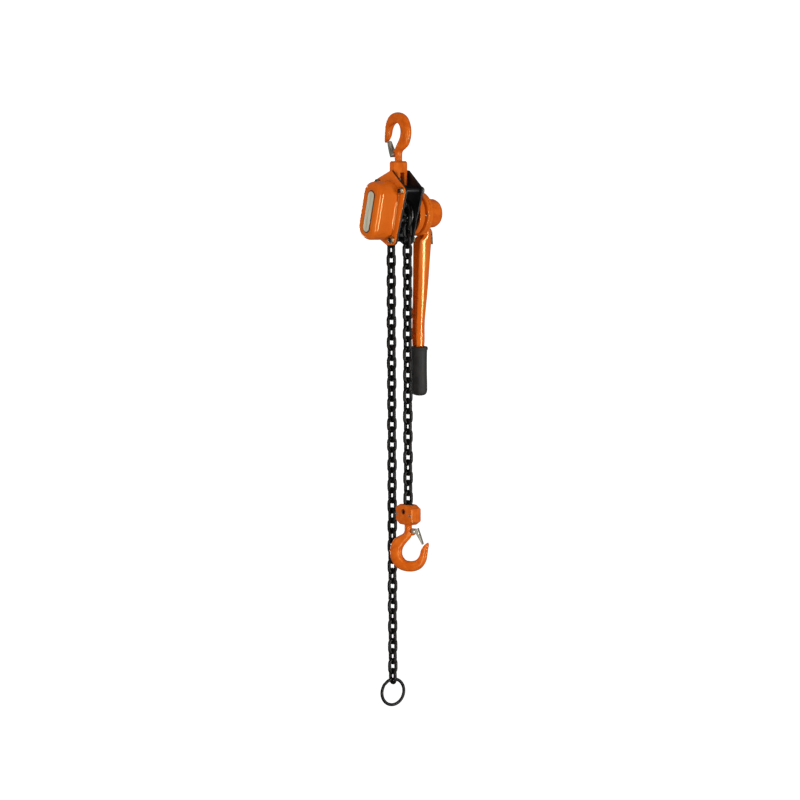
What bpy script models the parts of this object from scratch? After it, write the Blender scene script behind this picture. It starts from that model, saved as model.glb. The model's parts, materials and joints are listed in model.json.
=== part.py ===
"""Lever chain hoist, 1.5 t class, hanging from its top hook.

World axes: the seat of the top hook is the origin, +Z is up, the drive axis runs along +X with the gear cover
at -X and the lever at +X. The hoist body leans about X because its pin sits behind the drive axis.
All constants and outlines are millimetres and become metres when a mesh is made.
"""
import math

import bmesh
import bpy
from mathutils import Matrix, Vector

MM = 0.001
GAP = 0.3

# where the main axes are
LEAN = math.radians(15.5)
AXIS_Y = 0.0
AXIS_Z = -183.0
PIN_ABOVE_AXIS = 70.0

# chain: wire diameter, pitch and inside width of one link
WIRE = 7.1
PITCH = 21.0
LINK_INSIDE_WIDTH = 9.3
LOAD_LINKS = 29
FREE_LINKS = 46
POCKETS = 4
JOINT_RADIUS = PITCH / (2 * math.sin(math.pi / (2 * POCKETS)))
LOAD_OFFSET = 28.75
FREE_OFFSET = 25.6

# hooks: shank radius and the heights where the latch pin sits over the seat
SHANK = 7.6
COLLAR = 7.0
EAR_U = 12.5
EAR_W = 62.0

# casing, measured in the leaning frame of the drive axis (across, up)
PLATE_IN = 18.0
PLATE_OUT = 22.0
PLATE_CORNERS = [(-40.0, 64.0), (17.5, 87.5), (59.0, 57.0), (59.0, -54.0), (14.0, -58.5), (-8.0, -62.5),
                 (-34.5, -54.5)]
PLATE_RADII = [10.5, 6.0, 8.0, 12.0, 20.0, 10.0, 11.0]
BOLTS = [("front_top", -28.5, 58.0), ("front_bottom", -24.5, -46.0),
         ("back_top", 50.0, 52.0), ("back_bottom", 48.0, -46.0)]
BOLT_RADIUS = 4.2
NUT_FLATS = 13.0
COVER_CORNERS = [(-24.0, 66.5), (37.0, 66.5), (37.0, -54.0), (-24.0, -54.0)]
COVER_RADII = [27.0, 28.0, 28.0, 29.5]
COVER_FACE = 74.0
COVER_WALL = 2.4

# gears: module, tooth counts and centre distance
MODULE = 1.8
PINION_TEETH = 10
GEAR_TEETH = 20
GEAR_CENTRE = MODULE * (PINION_TEETH + GEAR_TEETH) / 2

# drive side
SHAFT = 7.0
HEAD_RADIUS = 45.0
KNOB_RADIUS = 29.3

# bottom end
YOKE_PIN_ABOVE_SEAT = 102.5
RING_RADIUS = 27.2
RING_WIRE = 3.3

COLOURS = {
    "orange_paint": ((0.72, 0.15, 0.015), 0.38, 0.0),
    "black_paint": ((0.012, 0.012, 0.014), 0.45, 0.0),
    "black_chain": ((0.02, 0.02, 0.022), 0.42, 0.8),
    "bright_zinc": ((0.62, 0.60, 0.55), 0.28, 1.0),
    "grey_steel": ((0.32, 0.32, 0.30), 0.4, 1.0),
    "gear_steel": ((0.42, 0.41, 0.40), 0.35, 1.0),
    "plate_alloy": ((0.66, 0.65, 0.60), 0.35, 1.0),
    "brake_lining": ((0.16, 0.10, 0.07), 0.85, 0.0),
    "grip_rubber": ((0.03, 0.028, 0.026), 0.75, 0.0),
    "bearing_bronze": ((0.55, 0.36, 0.16), 0.4, 1.0),
}


def clear_scene():
    """Remove every object that the new file came with."""
    for old in list(bpy.data.objects):
        bpy.data.objects.remove(old, do_unlink=True)


def make_materials():
    """One Principled material for each finish."""
    made = {}
    for name, (colour, roughness, metallic) in COLOURS.items():
        material = bpy.data.materials.new(name)
        material.use_nodes = True
        shader = material.node_tree.nodes["Principled BSDF"]
        shader.inputs["Base Color"].default_value = (*colour, 1.0)
        shader.inputs["Roughness"].default_value = roughness
        shader.inputs["Metallic"].default_value = metallic
        material.diffuse_color = (*colour, 1.0)
        made[name] = material
    return made


clear_scene()
MATERIALS = make_materials()
PARTS = bpy.data.collections.new("lever_chain_hoist")
SCRATCH = bpy.data.collections.new("cutters")
bpy.context.scene.collection.children.link(PARTS)
bpy.context.scene.collection.children.link(SCRATCH)


# ---------------------------------------------------------------- frames

# rows map the drawing plane (u, v) and its thickness onto the axes
ALONG_X = Matrix(((0, 0, 1, 0), (1, 0, 0, 0), (0, 1, 0, 0), (0, 0, 0, 1)))
ALONG_Z = Matrix.Identity(4)


def shift(x, y, z):
    return Matrix.Translation((x * MM, y * MM, z * MM))


def make_frame(name, x, y, z, about_x=0.0, about_z=0.0, parent=None):
    """An empty that marks a joint axis; world placement in millimetres."""
    empty = bpy.data.objects.new(name, None)
    PARTS.objects.link(empty)
    placed = shift(x, y, z) @ Matrix.Rotation(about_z, 4, "Z") @ Matrix.Rotation(about_x, 4, "X")
    empty.empty_display_size = 0.02
    if parent:
        empty.parent = parent
        empty.matrix_parent_inverse = Matrix.Identity(4)
    empty.matrix_local = placed
    return empty


# ---------------------------------------------------------------- solids

def evaluate(obj):
    """Turn a curve, or a mesh with modifiers, into a plain welded mesh and drop the source object."""
    bpy.context.view_layer.update()
    source = obj.evaluated_get(bpy.context.evaluated_depsgraph_get())
    mesh = bpy.data.meshes.new_from_object(source)
    bpy.data.objects.remove(obj, do_unlink=True)
    work = bmesh.new()
    work.from_mesh(mesh)
    bmesh.ops.remove_doubles(work, verts=work.verts, dist=0.00001)
    bmesh.ops.dissolve_degenerate(work, edges=work.edges, dist=0.000001)
    bmesh.ops.recalc_face_normals(work, faces=work.faces)
    work.to_mesh(mesh)
    work.free()
    return mesh


def scratch(name, data):
    obj = bpy.data.objects.new(name, data)
    SCRATCH.objects.link(obj)
    return obj


def prism(outline, start, stop, matrix=ALONG_X, holes=()):
    """Filled flat outline with holes, extruded from start to stop along its normal."""
    curve = bpy.data.curves.new("outline", "CURVE")
    curve.dimensions = "2D"
    curve.fill_mode = "BOTH"
    for ring in [outline, *holes]:
        spline = curve.splines.new("POLY")
        spline.points.add(len(ring) - 1)
        for point, (u, v) in zip(spline.points, ring):
            point.co = (u * MM, v * MM, 0.0, 1.0)
        spline.use_cyclic_u = True
    curve.extrude = abs(stop - start) * MM / 2
    mesh = evaluate(scratch("outline", curve))
    mesh.transform(matrix @ shift(0, 0, (start + stop) / 2))
    return mesh


def turned(profile, steps, matrix=ALONG_X, closed=False):
    """Profile of (radius, height) turned about the height axis with a Screw."""
    mesh = bpy.data.meshes.new("profile")
    points = [(radius * MM, 0.0, height * MM) for radius, height in profile]
    edges = [(i, i + 1) for i in range(len(points) - 1)]
    if closed:
        edges.append((len(points) - 1, 0))
    mesh.from_pydata(points, edges, [])
    obj = scratch("profile", mesh)
    screw = obj.modifiers.new("Screw", "SCREW")
    screw.steps = steps
    screw.render_steps = steps
    screw.use_merge_vertices = True
    screw.merge_threshold = 0.00001
    made = evaluate(obj)
    made.transform(matrix)
    return made


def tube(points, radius, cyclic=False, resolution=0):
    """Round wire along a path of (x, y, z)."""
    curve = bpy.data.curves.new("wire", "CURVE")
    curve.dimensions = "3D"
    curve.bevel_depth = radius * MM
    curve.bevel_resolution = resolution
    curve.use_fill_caps = not cyclic
    spline = curve.splines.new("POLY")
    spline.points.add(len(points) - 1)
    for point, place in zip(spline.points, points):
        point.co = (place[0] * MM, place[1] * MM, place[2] * MM, 1.0)
    spline.use_cyclic_u = cyclic
    return evaluate(scratch("wire", curve))


def loft(sections):
    """Skin between rings of equal length, closed by a flat cap at each end."""
    work = bmesh.new()
    rings = []
    for section in sections:
        rings.append([work.verts.new((x * MM, y * MM, z * MM)) for x, y, z in section])
    count = len(rings[0])
    for lower, upper in zip(rings, rings[1:]):
        for i in range(count):
            j = (i + 1) % count
            work.faces.new((lower[i], lower[j], upper[j], upper[i]))
    work.faces.new(rings[0][::-1])
    work.faces.new(rings[-1])
    bmesh.ops.recalc_face_normals(work, faces=work.faces)
    mesh = bpy.data.meshes.new("loft")
    work.to_mesh(mesh)
    work.free()
    return mesh


def box(x0, x1, y0, y1, z0, z1):
    return prism([(x0, y0), (x1, y0), (x1, y1), (x0, y1)], z0, z1, ALONG_Z)


def combine(mesh, others, operation):
    """Exact Boolean of one mesh with a list of others, one after another."""
    for other in others:
        target = scratch("target", mesh)
        cutter = scratch("cutter", other)
        boolean = target.modifiers.new("Boolean", "BOOLEAN")
        boolean.solver = "EXACT"
        boolean.operation = operation
        boolean.object = cutter
        mesh = evaluate(target)
        bpy.data.objects.remove(cutter, do_unlink=True)
    return mesh


def cut(mesh, *others):
    return combine(mesh, others, "DIFFERENCE")


def fuse(mesh, *others):
    return combine(mesh, others, "UNION")


def gather(meshes):
    """Put several separate meshes into one, without joining their surfaces."""
    work = bmesh.new()
    for mesh in meshes:
        work.from_mesh(mesh)
    joined = bpy.data.meshes.new("gathered")
    work.to_mesh(joined)
    work.free()
    return joined


def moved(mesh, matrix):
    copy = mesh.copy()
    copy.transform(matrix)
    return copy


def add(name, mesh, finish, parent=None, smooth=30.0):
    """Make a finished, named part; the mesh is already in its parent's frame."""
    mesh.name = name
    obj = bpy.data.objects.new(name, mesh)
    PARTS.objects.link(obj)
    mesh.materials.clear()
    mesh.materials.append(MATERIALS[finish])
    mesh.shade_smooth()
    mesh.set_sharp_from_angle(angle=math.radians(smooth))
    if parent:
        obj.parent = parent
        obj.matrix_parent_inverse = Matrix.Identity(4)
    return obj


# ---------------------------------------------------------------- outlines

def circle(radius, count, u=0.0, v=0.0, turn=0.0):
    ring = []
    for i in range(count):
        angle = turn + 2 * math.pi * i / count
        ring.append((u + radius * math.cos(angle), v + radius * math.sin(angle)))
    return ring


def rounded(corners, radii, steps=4):
    """Polygon with each corner replaced by an arc."""
    ring = []
    count = len(corners)
    for i in range(count):
        here = Vector(corners[i])
        to_last = (Vector(corners[i - 1]) - here).normalized()
        to_next = (Vector(corners[(i + 1) % count]) - here).normalized()
        half = to_last.angle(to_next) / 2
        middle = here + (to_last + to_next).normalized() * (radii[i] / math.sin(half))
        first = here + to_last * (radii[i] / math.tan(half)) - middle
        last = here + to_next * (radii[i] / math.tan(half)) - middle
        sweep = first.angle_signed(last)
        for step in range(steps + 1):
            turn = Matrix.Rotation(-sweep * step / steps, 2)
            point = middle + turn @ first
            ring.append((point.x, point.y))
    return ring


def gear_outline(teeth, module, tooth_at):
    """Straight-sided teeth with one tooth pointing at the angle given."""
    pitch_radius = teeth * module / 2
    step = 2 * math.pi / teeth
    ring = []
    for i in range(teeth):
        middle = tooth_at + i * step
        for radius, share in ((pitch_radius - 1.3 * module, -0.33), (pitch_radius + 0.9 * module, -0.12),
                              (pitch_radius + 0.9 * module, 0.12), (pitch_radius - 1.3 * module, 0.33)):
            angle = middle + share * step
            ring.append((radius * math.cos(angle), radius * math.sin(angle)))
    return ring


def ratchet_outline(teeth, root, tip, tooth_at):
    """Saw teeth, each with one steep and one long side."""
    step = 2 * math.pi / teeth
    ring = []
    for i in range(teeth):
        start = tooth_at + i * step
        ring.append((tip * math.cos(start), tip * math.sin(start)))
        ring.append((root * math.cos(start + 0.2 * step), root * math.sin(start + 0.2 * step)))
    return ring


# ---------------------------------------------------------------- chain

def link_path(inside, plane):
    """Centre line of one link about its own middle; plane is the axis that its width lies along."""
    bend = (LINK_INSIDE_WIDTH + WIRE) / 2
    straight = (inside + WIRE) / 2 - bend
    path = []
    for end in (1, -1):
        for step in range(4):
            angle = math.pi * step / 3 if end == 1 else math.pi + math.pi * step / 3
            across = bend * math.cos(angle)
            up = bend * math.sin(angle) / math.sin(math.pi / 3) + end * straight
            path.append((across, 0.0, up) if plane == "X" else (0.0, across, up))
    return path


def link_mesh(inside, plane, matrix):
    mesh = tube(link_path(inside, plane), WIRE / 2 * 1.06, cyclic=True)
    mesh.transform(matrix)
    return mesh


def chain_run(first, last, y, top, plane_of_first):
    """Links first..last hanging from the joint at height top, welded where they bear on each other."""
    sets = {"X": [], "Y": []}
    for number in range(first, last + 1):
        other = "Y" if plane_of_first == "X" else "X"
        plane = plane_of_first if (number - first) % 2 == 0 else other
        middle = top - PITCH * (number - first + 0.5)
        sets[plane].append(link_mesh(PITCH - 0.9, plane, shift(0, y, middle)))
    return fuse(gather(sets["X"]), gather(sets["Y"]))


# ---------------------------------------------------------------- hooks

# edges of the hook in its own plane: outside (u, w), inside (u, w), thickness across the plane
HOOK_EDGES = [((-7.6, 61.0), (7.6, 61.0), 15.2), ((-9.0, 56.0), (9.5, 54.5), 15.6), ((-20.0, 51.0), (4.5, 46.5), 16.2),
              ((-30.0, 44.0), (-4.0, 37.5), 17.0), ((-36.0, 32.5), (-11.0, 27.5), 17.6),
              ((-38.5, 18.0), (-13.5, 17.0), 18.0), ((-36.0, 2.5), (-11.4, 8.0), 18.0),
              ((-27.0, -12.0), (-5.5, 1.4), 18.0), ((-12.5, -20.0), (0.5, 0.0), 18.0), ((3.5, -22.2), (8.5, 0.0), 18.0),
              ((18.0, -19.0), (15.0, 2.2), 17.4), ((29.5, -11.5), (20.8, 7.0), 16.6), ((37.5, 1.0), (25.0, 15.0), 15.6),
              ((40.5, 16.0), (27.3, 24.0), 14.4), ((42.0, 27.0), (31.5, 31.5), 12.6), ((44.5, 35.0), (37.0, 37.0), 9.6),
              ((43.8, 39.8), (40.6, 40.4), 4.4)]
HOOK_SIDES = 12


def squared(value, power=0.8):
    return math.copysign(abs(value) ** power, value)


def hook_section(outside, inside, thickness):
    """Ring with squared-off quarters whose innermost facet lies exactly on the inside edge."""
    middle = (Vector(outside) + Vector(inside)) / 2
    reach = (Vector(inside) - Vector(outside)) / 2
    full = squared(math.cos(math.pi / HOOK_SIDES))
    ring = []
    for i in range(HOOK_SIDES):
        angle = 2 * math.pi * (i + 0.5) / HOOK_SIDES
        point = middle + reach * (squared(math.cos(angle)) / full)
        ring.append((point.x, squared(math.sin(angle)) / full * thickness / 2, point.y))
    return ring


def hook_mesh(shank_top):
    """Hook about its seat: u along +X, height w along +Z, with collared shank and latch ear."""
    body = loft([hook_section(*row) for row in HOOK_EDGES])
    shank = turned([(0, 60.0), (8.3, 60.0), (SHANK, 62.5), (SHANK, shank_top - COLLAR), (10.3, shank_top - COLLAR),
                    (10.3, shank_top - 1.0), (9.3, shank_top), (0, shank_top)], 14, ALONG_Z)
    upright = Matrix.Rotation(math.radians(90), 4, "X")
    ear = prism([(2.0, 53.0), (13.0, 53.5), (17.0, 59.5), (16.2, 65.0), (11.0, 67.0), (2.0, 66.5)], -4.0, 4.0,
                upright)
    hole = prism(circle(2.3, 8, EAR_U, EAR_W), -6.0, 6.0, upright)
    return cut(fuse(body, shank, ear), hole)


def latch_mesh():
    """Sprung hook latch: two cheeks on the pin, joined by a web that runs down to the tip."""
    upright = Matrix.Rotation(math.radians(90), 4, "X")
    cheek = [(8.5, 60.5), (9.5, 66.0), (13.5, 68.0), (22.6, 68.6), (26.5, 60.0), (31.8, 35.5), (28.6, 35.0),
             (21.0, 58.5), (14.5, 58.0), (10.5, 58.2)]
    web = [(19.6, 68.8), (22.9, 68.8), (32.2, 35.5), (30.4, 35.0), (22.0, 62.0)]
    sides = [prism(cheek, start, start + 1.6, upright, [circle(2.3, 8, EAR_U, EAR_W)]) for start in (-6.6, 5.0)]
    return fuse(prism(web, -6.6, 6.6, upright), *sides)


def latch_pin():
    upright = Matrix.Rotation(math.radians(90), 4, "X")
    return prism(circle(1.9, 10, EAR_U, EAR_W), -7.6, 7.6, upright)


def add_hook(prefix, frame, turn, shank_top):
    """Hook, latch and latch pin in a frame at the seat; turn maps the hook's own axes into it."""
    add(prefix + "_hook", moved(hook_mesh(shank_top), turn), "orange_paint", frame, 40)
    pin = moved(latch_pin(), turn)
    add(prefix + "_latch_pin", pin, "grey_steel", frame)
    pivot = turn @ Vector((EAR_U * MM, 0.0, EAR_W * MM))
    hinge = make_frame(prefix + "_latch_frame", pivot.x / MM, pivot.y / MM, pivot.z / MM, parent=frame)
    add(prefix + "_latch", moved(latch_mesh(), Matrix.Translation(-pivot) @ turn), "grey_steel", hinge)


# ---------------------------------------------------------------- top end

TOP_FRAME = make_frame("top_hook_frame", 0, 0, 0)
SHANK_LENGTH = 97.0
FLIP = Matrix.Rotation(math.radians(90), 4, "Z") @ Matrix.Diagonal((1, -1, -1, 1))
add_hook("top", TOP_FRAME, FLIP, SHANK_LENGTH)

YOKE_FRAME = make_frame("top_yoke_frame", 0, 0, 0)
YOKE_TOP = -76.0
SLOT_TOP = -99.0
PIN_Z = AXIS_Z + PIN_ABOVE_AXIS
YOKE_BOTTOM = PIN_Z - 12.0


def top_yoke_half(side):
    """Half of the forged yoke: bored for the shank, hollowed for the nut, with one leg for the pin."""
    outline = [(0.15, -13), (11, -13), (17, -7), (17, 7), (11, 13), (0.15, 13)]
    block = prism(outline, YOKE_BOTTOM, YOKE_TOP - 3.0, ALONG_Z)
    crown = loft([[(x, y, YOKE_TOP - 3.5) for x, y in outline],
                  [(max(0.15, x - 2.5), y * 0.84, YOKE_TOP) for x, y in outline]])
    bore = turned([(0, -120), (8.0, -120), (8.0, -70), (0, -70)], 16, ALONG_Z)
    room = turned([(0, SLOT_TOP - 2), (10.9, SLOT_TOP - 2), (10.9, -89.6), (0, -89.6)], 16, ALONG_Z)
    slot = box(-5, 5, -20, 20, YOKE_BOTTOM - 5, SLOT_TOP)
    pin_hole = prism(circle(5.3, 14, 0, PIN_Z), -1, 20)
    half = cut(fuse(block, crown), bore, room, slot, pin_hole)
    if side < 0:
        half.transform(Matrix.Rotation(math.pi, 4, "Z"))
    return half


add("top_yoke_gear_half", top_yoke_half(-1), "orange_paint", YOKE_FRAME, 25)
add("top_yoke_lever_half", top_yoke_half(1), "orange_paint", YOKE_FRAME, 25)

# ---------------------------------------------------------------- leaning body

SWING_FRAME = make_frame("hoist_swing_frame", 0, 0, PIN_Z)
BODY = make_frame("hoist_body_frame", 0, AXIS_Y, AXIS_Z - PIN_Z, about_x=LEAN, parent=SWING_FRAME)
PIN_ACROSS = -AXIS_Y * math.cos(LEAN) + PIN_ABOVE_AXIS * math.sin(LEAN)
PIN_UP = AXIS_Y * math.sin(LEAN) + PIN_ABOVE_AXIS * math.cos(LEAN)

PLATE = rounded(PLATE_CORNERS, PLATE_RADII)


def plate_holes(bearing):
    holes = [circle(bearing, 14), circle(5.3, 12, PIN_ACROSS, PIN_UP)]
    for _, across, up in BOLTS:
        holes.append(circle(4.1, 8, across, up))
    return holes


DISC_HOLES = [circle(4.4, 8, 0, GEAR_CENTRE), circle(4.4, 8, 0, -GEAR_CENTRE)]
PAWL_ANGLES = (math.radians(75), math.radians(255))
PAWL_RADIUS = 35.5


def pawl_pivot(angle):
    return PAWL_RADIUS * math.cos(angle), PAWL_RADIUS * math.sin(angle)


def ratchet_side_plate():
    """Side plate with the two riveted pins that the brake pawls turn on."""
    plate = prism(PLATE, PLATE_IN, PLATE_OUT, holes=plate_holes(17.3))
    pins = []
    for angle in PAWL_ANGLES:
        pin = turned([(0, 19.0), (2.1, 19.0), (2.1, 32.2), (3.6, 32.2), (3.6, 33.4), (0, 33.4)], 10,
                     ALONG_X @ shift(*pawl_pivot(angle), 0))
        pins.append(pin)
    return fuse(plate, *pins)


add("gear_side_plate", prism(PLATE, -PLATE_OUT, -PLATE_IN, holes=plate_holes(17.3) + DISC_HOLES),
    "black_paint", BODY)
add("ratchet_side_plate", ratchet_side_plate(), "black_paint", BODY)
add("top_pin", prism(circle(5.0, 14, PIN_ACROSS, PIN_UP), -21.8, 22.5), "grey_steel", BODY)

for bolt, across, up in BOLTS:
    at = ALONG_X @ shift(across, up, 0)
    stay = turned([(0, -31), (3.6, -31), (3.6, -17.7), (BOLT_RADIUS, -17.7), (BOLT_RADIUS, 17.7), (3.6, 17.7),
                   (3.6, 30), (0, 30)], 10, at)
    add("stay_bolt_" + bolt, stay, "black_paint", BODY)
    nut = circle(NUT_FLATS / math.sqrt(3), 6, across, up, 0.3)
    add("gear_nut_" + bolt, prism(nut, -32, -25.3, holes=[circle(4.05, 8, across, up)]), "bright_zinc", BODY)
    add("lever_nut_" + bolt, prism(nut, 22.3, 29, holes=[circle(4.05, 8, across, up)]), "bright_zinc", BODY)

BEARING = [(12.3, 0), (17.0, 0), (17.0, 3.8), (12.3, 3.8)]
add("gear_side_bearing", turned(BEARING, 14, ALONG_X @ shift(0, 0, -21.9), closed=True), "bearing_bronze", BODY)
add("ratchet_side_bearing", turned(BEARING, 14, ALONG_X @ shift(0, 0, 18.1), closed=True), "bearing_bronze", BODY)


def cover_block(inset, start, face, round_off):
    """Rounded box of the gear cover, shrunk by inset, with its outer edge rolled over."""
    corners = []
    for across, up in COVER_CORNERS:
        corners.append((across - math.copysign(inset, across), up - math.copysign(inset, up)))
    ring = rounded(corners, [radius - inset for radius in COVER_RADII], 4)
    sections = []
    middle = (6.5, 6.0)
    for x, shrink in ((start, 0.0), (face + round_off, 0.8), (face + 0.3 * round_off, 0.4 * round_off),
                      (face, round_off)):
        section = []
        for across, up in ring:
            reach = Vector((across - middle[0], up - middle[1]))
            reach = reach * (1 - shrink / reach.length)
            section.append((x, middle[0] + reach.x, middle[1] + reach.y))
        sections.append(section)
    return loft(sections)


def gear_cover():
    holes = [circle(4.1, 8, across, up) for _, across, up in BOLTS]
    flange = prism(PLATE, -25.0, -22.3, holes=holes)
    skin = fuse(flange, cover_block(0.0, -23.0, -COVER_FACE, 12.0))
    hollow = cut(skin, cover_block(COVER_WALL, -20.0, -COVER_FACE + COVER_WALL, 10.0))
    bosses = []
    for up in (-GEAR_CENTRE, 0.0, GEAR_CENTRE):
        boss = turned([(4.4, -72.5), (7.6, -72.5), (7.6, -57.0), (4.4, -57.0)], 10, ALONG_X @ shift(0, up, 0), True)
        bosses.append(boss)
    return fuse(hollow, *bosses)


add("gear_cover", gear_cover(), "orange_paint", BODY, 40)

name_plate = rounded([(-6.5, 48), (12.5, 48), (12.5, -36), (-6.5, -36)], [9.4] * 4, 4)
add("rating_plate", prism(name_plate, -COVER_FACE - 1.3, -COVER_FACE - 0.3), "plate_alloy", BODY)

stripper = [(-17.0, -45.0), (0.0, -45.0), (-2.0, -36.0), (-9.0, -33.0), (-16.0, -36.0)]
add("chain_stripper", prism(stripper, -17.7, 17.7), "grey_steel", BODY)

drum = [(44.5, 22.3), (44.5, 33.0), (41.5, 37.2), (25.0, 37.2), (25.0, 34.8), (40.2, 34.8), (42.0, 32.0),
        (42.0, 22.3)]
add("brake_cover", turned(drum, 26, closed=True), "orange_paint", BODY, 40)

for number, angle in enumerate(PAWL_ANGLES, 1):
    frame = make_frame("pawl_frame_%d" % number, 0, *pawl_pivot(angle), about_x=angle, parent=BODY)
    pawl = [(5.0, -1.5), (2.5, -6.5), (-8.0, -16.0), (-11.6, -14.2), (-7.6, -9.0), (-3.6, -2.5), (-3.4, 2.0),
            (0.5, 4.6), (4.5, 3.0)]
    add("brake_pawl_%d" % number, prism(pawl, 27.4, 31.6, holes=[circle(2.4, 8)]), "gear_steel", frame)

# ---------------------------------------------------------------- sheave and gears

SHEAVE = make_frame("load_sheave_frame", 0, 0, 0, parent=BODY)
WHEEL = [(8.0, -37.0), (12.0, -37.0), (12.0, -15.5), (29.5, -15.5), (29.5, -4.6), (12.6, -4.4), (12.6, 4.4),
         (29.5, 4.6), (29.5, 15.5), (12.0, 15.5), (12.0, 22.2), (8.0, 22.2)]
ON_SHEAVE = [(157.5, "flat"), (112.5, "standing"), (67.5, "flat"), (22.5, "standing")]
LINK_RADIUS = JOINT_RADIUS * math.cos(math.pi / (2 * POCKETS))


def sheave_turn(degrees):
    """Places a link that hangs along Z at the top of the wheel, lying in the world's upright frame."""
    return Matrix.Rotation(-LEAN, 4, "X") @ Matrix.Rotation(math.radians(degrees), 4, "X") @ shift(0, LINK_RADIUS, 0)


def load_sheave():
    wheel = turned(WHEEL, 20, closed=True)
    pockets = []
    for number in range(POCKETS):
        pocket = box(-12.6, 12.6, -4.3, 20.0, -18.6, 18.6)
        pocket.transform(sheave_turn(67.5 + 90 * number))
        easing = box(-12.6, 12.6, -4.1, 20.0, -18.6, 18.6)
        easing.transform(Matrix.Rotation(math.radians(90 * number) - LEAN, 4, "X") @ shift(0, FREE_OFFSET, -PITCH / 2))
        pockets += [pocket, easing]
    return cut(wheel, *pockets)


def wrapped_links():
    groups = {"flat": [], "standing": []}
    for degrees, kind in ON_SHEAVE:
        plane = "X" if kind == "flat" else "Y"
        groups[kind].append(link_mesh(PITCH - 0.7, plane, sheave_turn(degrees)))
    return fuse(gather(groups["flat"]), gather(groups["standing"]))


add("load_sheave", load_sheave(), "gear_steel", SHEAVE)
add("sheave_links", wrapped_links(), "black_chain", SHEAVE, 50)

half_pi = math.pi / 2
tooth_half = math.pi / GEAR_TEETH
add("load_gear", prism(gear_outline(GEAR_TEETH, MODULE, half_pi + tooth_half), -36.0, -28.0,
                       holes=[circle(12.4, 16)]), "gear_steel", SHEAVE)

for name, side in (("upper", 1), ("lower", -1)):
    frame = make_frame(name + "_gear_frame", 0, 0, side * GEAR_CENTRE, parent=BODY)
    toward = -side * half_pi
    wheel = prism(gear_outline(GEAR_TEETH, MODULE, toward + tooth_half), -49.0, -42.0)
    pinion = prism(gear_outline(PINION_TEETH, MODULE, toward), -42.5, -28.0)
    arbor = turned([(0, -62.5), (4.0, -62.5), (4.0, -18.6), (0, -18.6)], 8)
    add(name + "_disc_gear", fuse(wheel, pinion, arbor), "gear_steel", frame)

DRIVE = make_frame("drive_frame", 0, 0, 0, parent=BODY)
shaft_line = [(0, -62.5), (4.0, -62.5), (4.0, -41.5), (SHAFT, -41.5), (SHAFT, 23.0), (22.0, 23.0), (22.0, 26.0),
              (SHAFT, 26.0), (SHAFT, 66.0), (5.0, 66.0), (5.0, 76.0), (0, 76.0)]
pinion = prism(gear_outline(PINION_TEETH, MODULE, half_pi), -49.0, -42.0)
add("drive_shaft", fuse(turned(shaft_line, 14), pinion), "gear_steel", DRIVE)
change = prism(ratchet_outline(14, 17.5, 20.5, 0.1), 44.0, 48.6)
hub = turned([(7.4, 33.8), (22.0, 33.8), (22.0, 37.0), (13.0, 37.0), (13.0, 44.5), (7.4, 44.5)], 16, closed=True)
add("change_gear", cut(fuse(change, hub), prism(circle(7.4, 16), 30, 55)), "gear_steel", DRIVE)
coil = []
for i in range(31):
    angle = 2 * math.pi * i / 10
    coil.append((52.9 + 5.6 * i / 30, 9.6 * math.cos(angle), 9.6 * math.sin(angle)))
add("free_wheel_spring", tube(coil, 0.8), "grey_steel", DRIVE)
add("shaft_nut", prism(circle(10.5, 6), 66.4, 72.0, holes=[circle(5.4, 10)]), "grey_steel", DRIVE)
knob = [(0, 98.5), (KNOB_RADIUS - 12.0, 97.2), (KNOB_RADIUS - 5.0, 93.5), (KNOB_RADIUS - 1.2, 88.0),
        (KNOB_RADIUS, 82.0), (KNOB_RADIUS, 57.5), (10.9, 57.5), (10.9, 60.5), (13.0, 62.0), (13.0, 77.5), (0, 77.5)]
add("hand_wheel", turned(knob, 24), "orange_paint", DRIVE, 30)

RATCHET = make_frame("ratchet_frame", 0, 0, 0, parent=BODY)
tooth_start = PAWL_ANGLES[0] - math.radians(31.6)
teeth = ratchet_outline(18, 24.0, 26.8, tooth_start + math.radians(6))
add("ratchet_disc", prism(teeth, 28.0, 31.0, holes=[circle(SHAFT + 0.6, 14)]), "gear_steel", RATCHET)
add("inner_friction_disc", prism(circle(21.5, 20), 26.3, 27.7, holes=[circle(SHAFT + 0.6, 14)]),
    "brake_lining", RATCHET)
add("outer_friction_disc", prism(circle(21.5, 20), 31.3, 33.5, holes=[circle(SHAFT + 0.6, 14)]),
    "brake_lining", RATCHET)

# ---------------------------------------------------------------- lever, hanging straight down

LEVER = make_frame("lever_frame", 0, AXIS_Y, AXIS_Z)
# height, inner face, outer face, half width
ARM = [(-30.8, 56.0, 75.5, 14.0), (-46.0, 55.0, 75.5, 15.0), (-47.0, 46.0, 75.5, 15.0), (-62.0, 46.0, 75.5, 15.0),
       (-100.0, 45.0, 72.0, 14.5), (-150.0, 43.5, 68.0, 13.5), (-200.0, 41.5, 62.5, 12.8), (-225.0, 40.4, 60.4, 12.4),
       (-262.0, 40.3, 60.2, 12.2), (-279.0, 41.5, 58.5, 11.2)]
ARM_WALL = 3.6
SELECTOR_Z = -37.5


def channel(z, inner, outer, half):
    """Pressed channel section, open towards the chain side."""
    wall = ARM_WALL
    return [(inner, -half, z), (outer - 5, -half, z), (outer, -half + 6, z), (outer, half - 6, z),
            (outer - 5, half, z), (inner, half, z), (inner, half - wall, z), (outer - 6, half - wall, z),
            (outer - wall, half - 8, z), (outer - wall, 8 - half, z), (outer - 6, wall - half, z),
            (inner, wall - half, z)]


def bar(z0, z1, inner, outer, half):
    return box(inner, outer, -half, half, z0, z1)


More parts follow.
